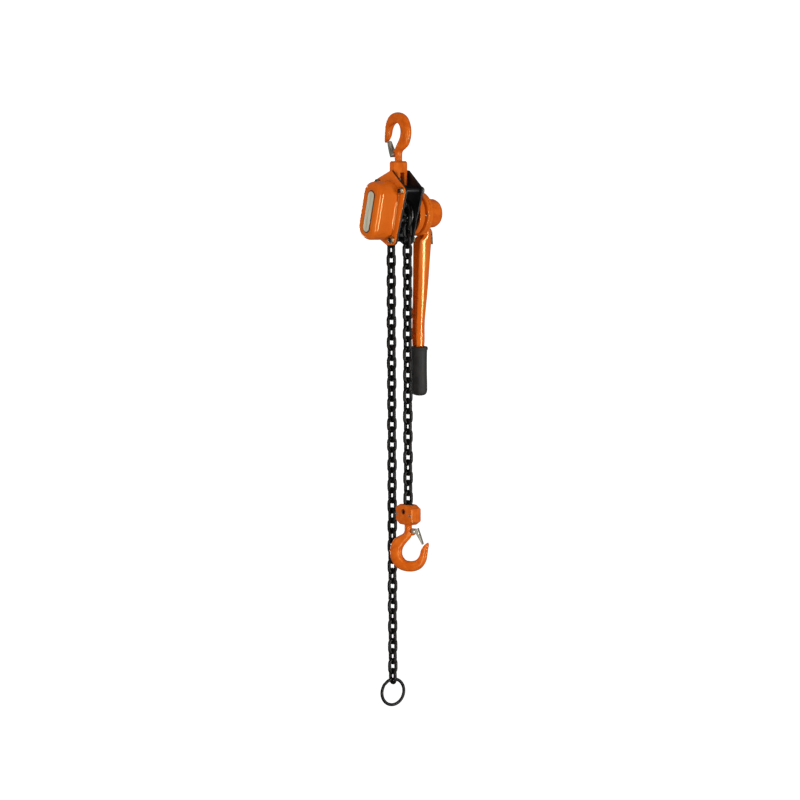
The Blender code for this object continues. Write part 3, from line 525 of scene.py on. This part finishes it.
# outside edge (u, w), inside edge (u, w), thickness, down the shank and round the bowl to the tip
HOOK_STATIONS = [
    (-7.6, 86.0, 7.6, 86.0, 15.2), (-7.6, 70.0, 7.6, 70.0, 15.2), (-7.8, 62.0, 7.6, 61.0, 15.4),
    (-11.0, 56.0, 7.6, 54.5, 15.8), (-20.0, 51.0, 4.0, 46.5, 16.4), (-30.0, 44.0, -4.0, 37.5, 17.2),
    (-36.0, 32.5, -11.0, 27.5, 17.8), (-38.5, 18.0, -13.5, 17.0, 18.0), (-36.0, 2.5, -11.4, 8.0, 18.0),
    (-27.0, -12.0, -5.5, 1.4, 18.0), (-12.5, -20.0, 1.0, 0.0, 18.0), (3.5, -21.8, 8.0, 0.0, 18.0),
    (18.0, -19.0, 15.0, 2.2, 17.4), (29.5, -11.5, 20.8, 7.0, 16.6), (37.5, 1.0, 25.0, 15.0, 15.6),
    (40.5, 16.0, 27.3, 24.0, 14.4), (42.0, 27.0, 31.5, 31.5, 12.2), (43.6, 34.5, 36.6, 36.4, 9.4),
    (43.4, 38.6, 40.4, 39.2, 5.0)]


def signed_power(values, power):
    """sign(v) |v|^power, which squares off the circle that a sine and a cosine draw."""
    return np.sign(values) * np.abs(values) ** power


def forged_hook(matrix, shank_top):
    """Forged hook. Each ring is a superellipse between the outside and inside edges, round on the shank and
    squarer in the bowl, broader on the inside than the outside, with a low ridge where the dies met."""
    stations = np.array(HOOK_STATIONS)
    stations[0, [1, 3]] = shank_top
    rows = flowing(stations, 7)
    outside, inside, thickness = rows[:, None, 0:2], rows[:, None, 2:4], rows[:, None, 4]
    bowl = np.clip((62.0 - rows[:, 1]) / 16.0, 0, 1)[:, None]
    bowl = np.maximum.accumulate(bowl, axis=0)
    angle = ring_of(40)[None, :]
    power = 1.0 - 0.24 * bowl
    reach = signed_power(np.cos(angle), power)
    width = signed_power(np.sin(angle), power) * (1 + 0.1 * bowl * (reach - 0.3))
    ridge = 0.35 * bowl * np.exp(-(np.sin(angle) / 0.09) ** 2) * (reach < 0)
    middle, half = (outside + inside) / 2, (inside - outside) / 2
    length = np.linalg.norm(half, axis=2, keepdims=True)
    plane = middle + half * (reach + ridge * np.sign(reach) / length[:, :, 0])[:, :, None]
    points = np.stack([plane[:, :, 0], width * thickness / 2, plane[:, :, 1]], axis=-1)
    return skin_over(placed(points, matrix))


def latch_ear(matrix):
    """Thin ear on the hook's throat that carries the latch pin."""
    outline = eased([(1.0, 52.0), (12.5, 53.0), (17.0, 59.0), (16.4, 65.0), (11.0, 67.5), (1.0, 68.0)],
                    [2, 4, 4, 4, 4, 2])
    return slab(outline, -2.3, 2.3, 0.8, matrix @ FACING)


def sheet_latch(matrix):
    """Latch pressed from sheet: a U channel carried down from the knuckle to the tip. Its web follows one
    curve, its flanges grow shallower and its width eases in towards the tip."""
    # web's outer edge (u, w), direction into the flanges (u, w), flange depth, half width
    rows = flowing([(20.6, 68.6, -0.90, -0.44, 9.6, 6.6), (22.6, 63.0, -0.92, -0.40, 8.6, 6.6),
                    (24.6, 57.5, -0.93, -0.36, 6.4, 6.5), (27.3, 50.0, -0.94, -0.33, 4.6, 6.2),
                    (29.6, 43.0, -0.95, -0.30, 3.4, 5.7), (31.4, 37.4, -0.95, -0.28, 2.4, 5.0),
                    (32.0, 35.6, -0.95, -0.28, 2.1, 4.2)], 6)
    wall = 1.5
    web_u, web_w, in_u, in_w, depth, half = (rows[:, k, None] for k in range(6))
    share = np.array([[1, 1], [0.12, 1], [0, 0.88], [0, -0.88], [0.12, -1], [1, -1]])
    inner = np.array([[1, -1], [0.28, -1], [0.2, -0.82], [0.2, 0.82], [0.28, 1], [1, 1]])
    outer_in = share[None, :, 0] * depth
    outer_y = share[None, :, 1] * half
    inner_in = np.maximum(inner[None, :, 0] * depth, wall * 0.9)
    inner_in[:, [0, 5]] = depth
    inner_y = inner[None, :, 1] * (half - wall)
    deep = np.concatenate([outer_in, inner_in], axis=1)
    y = np.concatenate([outer_y, inner_y], axis=1)
    points = np.stack([web_u + in_u * deep, y, web_w + in_w * deep], axis=-1)
    body = skin_over(placed(points, matrix), ends="face")
    cheeks = [slab(circle(4.7, 28, EAR), low, low + 1.6, 0.3, matrix @ FACING) for low in (-6.6, 5.0)]
    return [body, *cheeks]


def latch_spring(matrix):
    """Torsion spring on the pin: four turns of 1.1 mm wire, two each side of the ear, and two legs along
    the latch."""
    skins = []
    for side in (-1, 1):
        turn = np.linspace(0, 2 * TAU, 56)
        along = side * (2.9 + 1.9 * turn / turn[-1])
        coil = np.stack([EAR[0] + 3.2 * np.cos(turn), along, EAR[1] + 3.2 * np.sin(turn)], axis=1)
        leg = np.linspace(coil[-1], (27.0, side * 3.0, 47.0), 10)[1:]
        skins.append(wire(np.vstack([coil, leg]), 0.55, 8, (0.02, 1, 0.03), False, matrix))
    return skins


def latch_rivet(matrix):
    """Pin with a domed head at each end."""
    profile = [(0, -8.6), (2.2, -8.4), (3.2, -7.4), (3.2, -6.9), (1.9, -6.8), (1.9, 6.8), (3.2, 6.9),
               (3.2, 7.4), (2.2, 8.4), (0, 8.6)]
    return revolved(profile, 24, matrix @ at(EAR[0], 0, EAR[1]) @ FACING, 0.3)


for prefix, matrix, shank_top in (("top", TOP_HOOK, 90.0), ("bottom", BOTTOM_HOOK, 80.0)):
    hook_body, latch_body = prefix + "_hook", prefix + "_latch"
    piece(prefix + "_hook_forging", [forged_hook(matrix, shank_top), latch_ear(matrix)], "enamel_on_forging",
          hook_body, [prefix + "_hook"])
    piece(prefix + "_latch_rivet", [latch_rivet(matrix)], "rolled_steel", hook_body, [prefix + "_latch_pin"])
    piece(prefix + "_latch_sheet", sheet_latch(matrix), "rolled_steel", latch_body, [prefix + "_latch"], 30)
    piece(prefix + "_latch_spring", latch_spring(matrix), "rolled_steel", latch_body)

# ---------------------------------------------------------------- yokes

for half in ("gear", "lever"):
    softened("top_yoke_%s_half" % half, "enamel_on_forging", "top_yoke", 1.0)
    softened("bottom_yoke_%s_half" % half, "enamel_on_forging", "bottom_yoke", 1.0)


def socket_screw(matrix, head_radius, head, tip):
    """Cap screw along the drawing's height: a round head with a dished socket, and its shank down to tip."""
    shank, socket = head_radius * 0.5, head - 1.6
    profile = [(0, tip), (shank, tip), (shank, 0), (head_radius, 0), (head_radius, head),
               (head_radius * 0.62, head), (shank, socket), (0, socket)]
    return revolved(profile, 36, matrix, 0.35)


yoke_pin = at(*joint_at("bottom_yoke_hinge"))
# load pin: a dished head on the gear side, riveted over on the other; its black finish is painted shade
# standing in for the dark hole round the pin
LOAD_PIN = [(0, -11.4), (3.4, -11.6), (4.4, -12.7), (5.5, -12.9), (5.8, -12.2), (3.7, -12.0), (3.7, 11.6),
            (5.4, 12.3), (4.4, 12.9), (2.4, 13.1), (0, 13.1)]
piece("chain_pin_riveted", [revolved(LOAD_PIN, 32, yoke_pin @ ALONG_X, 0.25)], "black_oxide", "bottom_yoke",
      ["chain_pin"])
for side, y in (("front", -21.0), ("back", 21.0)):
    # the head sits on the gear-side half and the screw runs through to the lever-side half
    seat = yoke_pin @ at(-9.8, y, -6.0) @ np.diag([-1.0, 1.0, 1.0, 1.0]) @ ALONG_X
    piece("yoke_screw_%s_cap" % side, [socket_screw(seat, 3.4, 3.2, -21.0)], "rolled_steel", "bottom_yoke",
          ["yoke_screw_" + side])

# ---------------------------------------------------------------- casing

def hex_nut(matrix, flats, low, high):
    """Chamfered hexagon nut. Its side is at apothem / cos(angle from the nearest flat), and each end face is
    cut back by a 30 degree cone, which draws the six arcs on the sides."""
    steps = 72
    angle = ring_of(steps)
    apothem = flats / 2
    from_flat = (angle % (TAU / 6)) - TAU / 12
    side = apothem / np.cos(from_flat)
    face_radius = apothem * 0.97
    drop = (side - face_radius) * math.tan(math.radians(30))
    bore = np.full(steps, 4.15)
    face = np.full(steps, face_radius)
    rows = [(bore, low + 0.6), (bore + 0.5, low), (face, low), (side, low + drop), (side, high - drop),
            (face, high), (bore + 0.5, high), (bore, high - 0.6)]
    rings = [np.stack([r * np.cos(angle), r * np.sin(angle), np.broadcast_to(h, steps)], axis=1)
             for r, h in rows]
    return skin_over(placed(np.array(rings), matrix), loop=True)


def thread_end(matrix, start, stop, radius=4.0, pitch=1.25):
    """Bolt end: the radius falls by the thread's depth once every pitch, and the tip is chamfered."""
    height = np.linspace(start, stop, int(abs(stop - start) / pitch * 4) + 1)
    depth = 0.35 * (1 - np.cos(TAU * (height - start) / pitch)) / 2 * 1.6
    radii = radius - depth
    radii[-1] = radius - 1.0
    rings = [np.column_stack([circle(r, 24), np.full(24, h)]) for r, h in zip(radii, height)]
    return skin_over(placed(np.array(rings), matrix))


def washer(matrix, low, high):
    """Flat ring round a bolt, an oblong section carried round it."""
    return revolved([(4.2, low), (7.7, low), (7.7, high), (4.2, high)], 40, matrix, 0.25, True)


for bolt, (across, up) in BOLTS.items():
    seat = CASING @ ALONG_X @ at(across, up, 0) @ turn_about("Z", 0.3)
    piece("gear_nut_%s_hex" % bolt, [hex_nut(seat, NUT_FLATS, *GEAR_NUT), washer(seat, *GEAR_WASHER)],
          "yellow_zinc", "hoist_body", ["gear_nut_" + bolt])
    piece("lever_nut_%s_hex" % bolt, [hex_nut(seat, NUT_FLATS, *LEVER_NUT), washer(seat, *LEVER_WASHER)],
          "yellow_zinc", "hoist_body", ["lever_nut_" + bolt])
    stay = revolved([(0, -25.0), (4.0, -25.0), (4.0, -18.0), (4.3, -17.8), (4.3, 17.8), (4.0, 18.0),
                     (4.0, 22.0), (0, 22.0)], 32, seat, 0.2)
    threads = [thread_end(seat, -25.0, -33.2), thread_end(seat, 22.0, 30.2)]
    piece("stay_bolt_%s_turned" % bolt, [stay, *threads], "black_enamel", "hoist_body",
          ["stay_bolt_" + bolt])

plate_outline = eased(PLATE_CORNERS, PLATE_RADII, 10)


def cover_rings():
    """Pressed cover: the rounded oblong drawn in by d at height x. From the flange a fillet rises to a wall
    with a little draft, then the edge rolls over through a quarter circle to a slightly crowned face. The
    fillet's radius is 2 mm, and swells to 7 mm as exp(-((up - 6) / 32)^4) along the front, between the
    nuts."""
    outline = anticlockwise(filled_in(eased(COVER_CORNERS, COVER_RADII, 18), 3.0))
    at_front = np.clip((-20.0 - outline[:, 0]) / 3.0, 0, 1)
    foot = 2.0 + 5.0 * at_front * np.exp(-((outline[:, 1] - 6.0) / 32.0) ** 4)
    rings = []
    for angle in np.linspace(0, math.pi / 2, 9):
        flat = inset(outline, -(foot * (1 - math.sin(angle)))[:, None])
        rings.append(np.column_stack([flat, -24.9 - foot * (1 - math.cos(angle))]))
    draft, wall_top = 0.8, COVER_FACE + COVER_ROLL
    levels = [(0.25, -38.0), (0.5, -50.0), (draft, wall_top)]
    for angle in np.linspace(0, math.pi / 2, 12)[1:]:
        levels.append((draft + COVER_ROLL * (1 - math.cos(angle)),
                       wall_top - (COVER_ROLL - COVER_CROWN) * math.sin(angle)))
    rings += [np.column_stack([inset(outline, d), np.full(len(outline), x)]) for d, x in levels]
    middle = np.array([6.5, 6.0])
    face_edge = rings[-1][:, :2]
    for share in (0.85, 0.65, 0.4, 0.15):
        flat = middle + (face_edge - middle) * share
        rings.append(np.column_stack([flat, np.full(len(flat), COVER_FACE + COVER_CROWN * share ** 2)]))
    return np.array(rings)


cover_dome = skin_over(placed(cover_rings(), CASING @ ALONG_X))
flange = slab(plate_outline, *FLANGE, 1.0, CASING @ ALONG_X)
piece("gear_cover_pressing", [cover_dome, flange], "enamel_on_sheet", "hoist_body", ["gear_cover"])

# rating plate: a blank brushed oblong with round ends and its rim folded up, ringed by a dark band of painted
# shade
rating = anticlockwise(eased([(-6.5, 48.0), (12.5, 48.0), (12.5, -36.0), (-6.5, -36.0)], [9.45] * 4, 12))


def rimmed_plate():
    """The plate's blank, drawn in by d at height x: up its side, over the rim and down to its face."""
    levels = [(0.0, -74.2), (0.0, -75.0), (0.2, -75.3), (1.3, -75.3), (1.6, -74.95), (1.8, -74.8),
              (8.6, -74.8)]
    rings = [np.column_stack([inset(rating, d), np.full(len(rating), x)]) for d, x in levels]
    return skin_over(placed(np.array(rings), CASING @ ALONG_X), ends="face")


piece("rating_plate_blank", [rimmed_plate()], "brushed_aluminium", "hoist_body", ["rating_plate"], 30)
# painted shade: a dark ring round the plate in place of the shade of its recess
shade_ring_levels = [(-2.0, -73.7), (-2.0, -74.3), (-1.7, -74.5), (-0.1, -74.5), (-0.1, -73.7)]
shade_ring = np.array([np.column_stack([inset(rating, d), np.full(len(rating), x)]) for d, x in shade_ring_levels])
piece("rating_plate_shade_ring", [skin_over(placed(shade_ring, CASING @ ALONG_X), loop=True)], "plate_ink",
      "hoist_body")

for side, low in (("gear", -21.9), ("ratchet", 18.1)):
    softened(side + "_side_plate", "black_enamel", "hoist_body", 0.5)
    high = low + 3.8
    bush = revolved([(12.4, low), (16.8, low), (16.8, high), (12.4, high)], 72, CASING @ ALONG_X, 0.3, True)
    piece(side + "_side_bush", [bush], "bearing_bronze", "hoist_body", [side + "_side_bearing"])
softened("chain_stripper", "black_enamel", "hoist_body", 0.6)

# a pressed drum whose outer edge is rolled over
DRUM = [(44.5, 22.3), (44.5, 33.0), (41.2, 37.2), (25.0, 37.2), (25.0, 34.8), (40.0, 34.8), (42.0, 32.0),
        (42.0, 22.3)]
piece("brake_cover_pressing", [revolved(DRUM, 96, CASING @ ALONG_X, 1.3, True, 6)], "enamel_on_sheet",
      "hoist_body", ["brake_cover"])

cover_screws = []
for angle in np.radians([183, 273, 3, 93]):
    across, up = COVER_SCREW_CIRCLE * math.cos(angle), COVER_SCREW_CIRCLE * math.sin(angle)
    seat = CASING @ turn_about("X", -LEAN) @ ALONG_X @ at(across, up, 36.2)
    cover_screws.append(socket_screw(seat, 2.7, 3.0, -3.0))
piece("brake_cover_screws", cover_screws, "yellow_zinc", "hoist_body")

# ---------------------------------------------------------------- lever

# height below the axis, inner face, outer face, half width
ARM_ROWS = [(-31.0, 57.0, 75.2, 13.6), (-40.0, 56.6, 75.5, 14.4), (-46.0, 55.4, 75.5, 14.9),
            (-51.0, 50.0, 75.5, 15.0), (-55.0, 46.6, 75.5, 15.0), (-62.0, 46.0, 75.3, 15.0),
            (-100.0, 45.0, 72.0, 14.5), (-150.0, 43.5, 68.0, 13.5), (-200.0, 41.5, 62.5, 12.8),
            (-225.0, 40.4, 60.4, 12.4), (-262.0, 40.3, 60.2, 12.2), (-277.0, 41.6, 58.4, 11.0)]


def pressed_arm():
    """Lever pressed as a channel open towards the chains. Its section in (x, y) is one closed line: the
    outside goes from the lip along a crowned side wall, whose half width falls by 3.2 t^2 mm towards the
    lip, round a corner of 8 mm, over the web and back; the inside follows it a wall's thickness further
    in."""
    rows = flowing(ARM_ROWS, 8)
    wall, corner, crown = 3.4, 8.0, 3.2
    z, inner, outer, half = (rows[:, k, None] for k in range(4))
    bend = np.linspace(0, math.pi / 2, 9)[None, :]
    t = np.linspace(1, 0, 8)[None, :]
    corner = np.minimum(corner, outer - inner - wall)
    start = outer - corner

    def side_of(gap, radius):
        """One side wall from its lip (t = 1) to the corner (t = 0), then the corner's quarter circle."""
        lip_x = start + (inner - start) * t
        lip_y = half - gap - crown * t ** 2
        turn_x = outer - gap - radius + radius * np.sin(bend)
        turn_y = half - gap - radius + radius * np.cos(bend)
        return np.hstack([lip_x, turn_x]), np.hstack([lip_y, turn_y])

    out_x, out_y = side_of(0.0, corner)
    in_x, in_y = side_of(wall, np.maximum(corner - wall, 0.4))
    in_x = np.maximum(in_x, inner)
    x = np.hstack([out_x, out_x[:, ::-1], in_x, in_x[:, ::-1]])
    y = np.hstack([-out_y, out_y[:, ::-1], in_y, -in_y[:, ::-1]])
    points = np.stack([x, y, np.broadcast_to(z, x.shape)], axis=-1)
    return skin_over(placed(points, LEVER), ends="face")


# the lever's round head, a shallow cup
CUP = [(23.5, 41.0), (43.4, 41.0), (HEAD_RADIUS, 42.4), (HEAD_RADIUS, 48.8), (41.5, 48.8), (41.5, 43.6),
       (23.5, 43.6)]
lever_head = revolved(CUP, 96, LEVER @ ALONG_X, 0.9, True)
piece("lever_pressing", [pressed_arm(), lever_head], "enamel_on_sheet", "lever", ["lever_arm"], 50)
softened("lever_head_cover", "enamel_on_sheet", "lever", 0.9)

head_screws = []
for angle in np.radians([20, 100, 170, 235, 305]):
    across, up = HEAD_SCREW_CIRCLE * math.cos(angle), HEAD_SCREW_CIRCLE * math.sin(angle)
    seat = LEVER @ ALONG_X @ at(across, up, 54.6)
    head_screws.append(socket_screw(seat, 3.0, 2.6, -3.0))
piece("lever_head_screws", head_screws, "yellow_zinc", "lever")

# height, depth along X, width along Y
GRIP_ROWS = [(-271.0, 13.2, 16.4), (-272.0, 15.2, 18.6), (-274.5, 15.8, 19.2), (-277.5, 15.7, 19.1),
             (-280.5, 14.5, 17.9), (-300.0, 14.1, 17.5), (-325.0, 14.1, 17.5), (-350.0, 14.5, 17.9),
             (-363.0, 14.2, 17.6), (-369.5, 11.4, 14.6), (-372.0, 6.4, 8.6)]
rows = flowing(GRIP_ROWS, 6)
angle = ring_of(64)[None, :]
# superellipse section, a little squarer than an ellipse
grip_x = GRIP_CENTRE + rows[:, 1, None] * signed_power(np.cos(angle), 0.85)
grip_y = rows[:, 2, None] * signed_power(np.sin(angle), 0.85)
grip_rings = np.stack([grip_x, grip_y, np.broadcast_to(rows[:, 0, None], grip_x.shape)], axis=-1)
piece("lever_grip_moulding", [skin_over(placed(grip_rings, LEVER))], "moulded_rubber", "lever",
      ["lever_grip"])

# the hand wheel: domed outside, hollow inside around the drive's end
wheel = [(0, 98.5), (12.0, 98.0), (20.5, 96.0), (26.0, 92.2), (28.9, 86.5), (KNOB_RADIUS, 82.0),
         (KNOB_RADIUS, 59.6), (26.6, 57.5), (10.9, 57.5), (10.9, 60.5), (13.0, 62.0), (13.0, 77.5), (0, 77.5)]
piece("hand_wheel_casting", [revolved(wheel, 96, CASING @ ALONG_X, 3.0, False, 6)], "enamel_on_forging",
      "drive", ["hand_wheel"], 50)
softened("selector_lever", "yellow_zinc", "selector", 0.5)

# ---------------------------------------------------------------- CAD nodes that stay in view

for name, node in frame["nodes"].items():
    if node.hide_render:
        continue
    old = node.data.materials[0].name.split(".")[0]
    node.data.materials.clear()
    node.data.materials.append(MATERIALS[KEPT_FINISH.get(old, "cut_steel")])

# ---------------------------------------------------------------- floor, light and camera

FLOOR_DROP = 1.35
FLOOR_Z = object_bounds()[0].z - FLOOR_DROP
PAPER_GLOW = 0.92
WORLD_GLOW = 0.12


def paper():
    """Matt white background paper with a glow of its own, so that it stays white where little light
    falls."""
    made = finish_of("background_paper", ("#F6F6F5", "#FAFAFA"), 400, (0.85, 0.9), 30, 0.01, specular=0.0)
    shader = made.node_tree.nodes["Principled BSDF"]
    shader.inputs["Emission Color"].default_value = (1.0, 1.0, 1.0, 1.0)
    shader.inputs["Emission Strength"].default_value = PAPER_GLOW
    return made


def sweep():
    """Round floor that curves up into a wall far behind: height is a quarter circle beyond the flat part."""
    flat, bend, wall, steps = 7.0, 2.5, 6.0, 96
    turn = np.linspace(0, math.pi / 2, 16)
    radius = np.concatenate([[0.01], np.linspace(1, flat, 7), flat + bend * np.sin(turn)[1:], [flat + bend]])
    height = np.concatenate([np.zeros(8), bend * (1 - np.cos(turn))[1:], [bend + wall]])
    angle = ring_of(steps)[None, :]
    points = np.stack([radius[:, None] * np.cos(angle), radius[:, None] * np.sin(angle),
                       FLOOR_Z + np.broadcast_to(height[:, None], (len(radius), steps))], axis=-1)
    index = np.arange(points.shape[0] * steps).reshape(-1, steps)
    after = np.roll(index, -1, axis=1)
    faces = np.stack([index[:-1], after[:-1], after[1:], index[1:]], axis=-1).reshape(-1, 4)
    mesh = bpy.data.meshes.new("studio_floor")
    mesh.from_pydata(points.reshape(-1, 3).tolist(), [], faces.tolist() + [index[0][::-1].tolist()])
    mesh.materials.append(paper())
    mesh.shade_smooth()
    made = bpy.data.objects.new("studio_floor", mesh)
    bpy.context.scene.collection.objects.link(made)
    made.visible_glossy = False
    made.visible_diffuse = False


sweep()

CAMERA_AZIMUTH = math.radians(-37)
CAMERA_DISTANCE = 5.2
CAMERA_HEIGHT = -0.02
AIM = Vector((0.0042, 0.0032, -0.562))
FRAME_WIDTH = 1.634
CAMERA_ROLL = math.radians(-0.2)

back = Vector((math.sin(CAMERA_AZIMUTH), -math.cos(CAMERA_AZIMUTH), 0.0))
camera_data = bpy.data.cameras.new("camera")
camera = bpy.data.objects.new("camera", camera_data)
bpy.context.scene.collection.objects.link(camera)
camera.location = back * CAMERA_DISTANCE + Vector((0, 0, CAMERA_HEIGHT))
aimed = (AIM - camera.location).to_track_quat("-Z", "Y").to_matrix()
camera.rotation_euler = (aimed @ Matrix.Rotation(CAMERA_ROLL, 3, "Z")).to_euler()
camera_data.lens = camera_data.sensor_width * (AIM - camera.location).length / FRAME_WIDTH
bpy.context.scene.camera = camera


def softbox(name, place, aim, size, power, height=None, flagged=False):
    """Rectangular area light at a place, turned to face its aim. A flagged one lights but isn't mirrored."""
    data = bpy.data.lights.new(name, "AREA")
    data.shape = "RECTANGLE"
    data.size = size
    data.size_y = height or size
    data.energy = power
    made = bpy.data.objects.new(name, data)
    bpy.context.scene.collection.objects.link(made)
    made.location = place
    made.rotation_euler = (Vector(aim) - made.location).to_track_quat("-Z", "Y").to_euler()
    made.visible_camera = False
    made.visible_glossy = not flagged


centre = Vector((0, 0, -0.35))
# two tall strips give the long highlights on the rolled edges and down the lever
softbox("front_strip", centre + Vector((0.90, -2.83, -0.55)), centre, 0.24, 68, 2.8)
softbox("left_strip", centre + Vector((-1.85, -2.10, -0.70)), centre, 0.20, 32, 2.6)
softbox("left_fill", centre + Vector((-3.35, 0.30, 0.45)), centre, 1.6, 64, 2.2, flagged=True)
softbox("top_fill", centre + Vector((0.20, -0.60, 3.10)), centre, 1.8, 38, flagged=True)
softbox("back_fill", centre + Vector((2.40, 2.60, 0.60)), centre, 1.2, 48, 2.0, flagged=True)
softbox("back_strip", centre + Vector((0.20, 3.20, -0.20)), centre, 0.24, 24, 2.4)

world = bpy.data.worlds.new("studio")
world.use_nodes = True
world.node_tree.nodes["Background"].inputs["Color"].default_value = (1.0, 1.0, 1.0, 1.0)
world.node_tree.nodes["Background"].inputs["Strength"].default_value = WORLD_GLOW
bpy.context.scene.world = world
bpy.context.scene.view_settings.view_transform = "Standard"
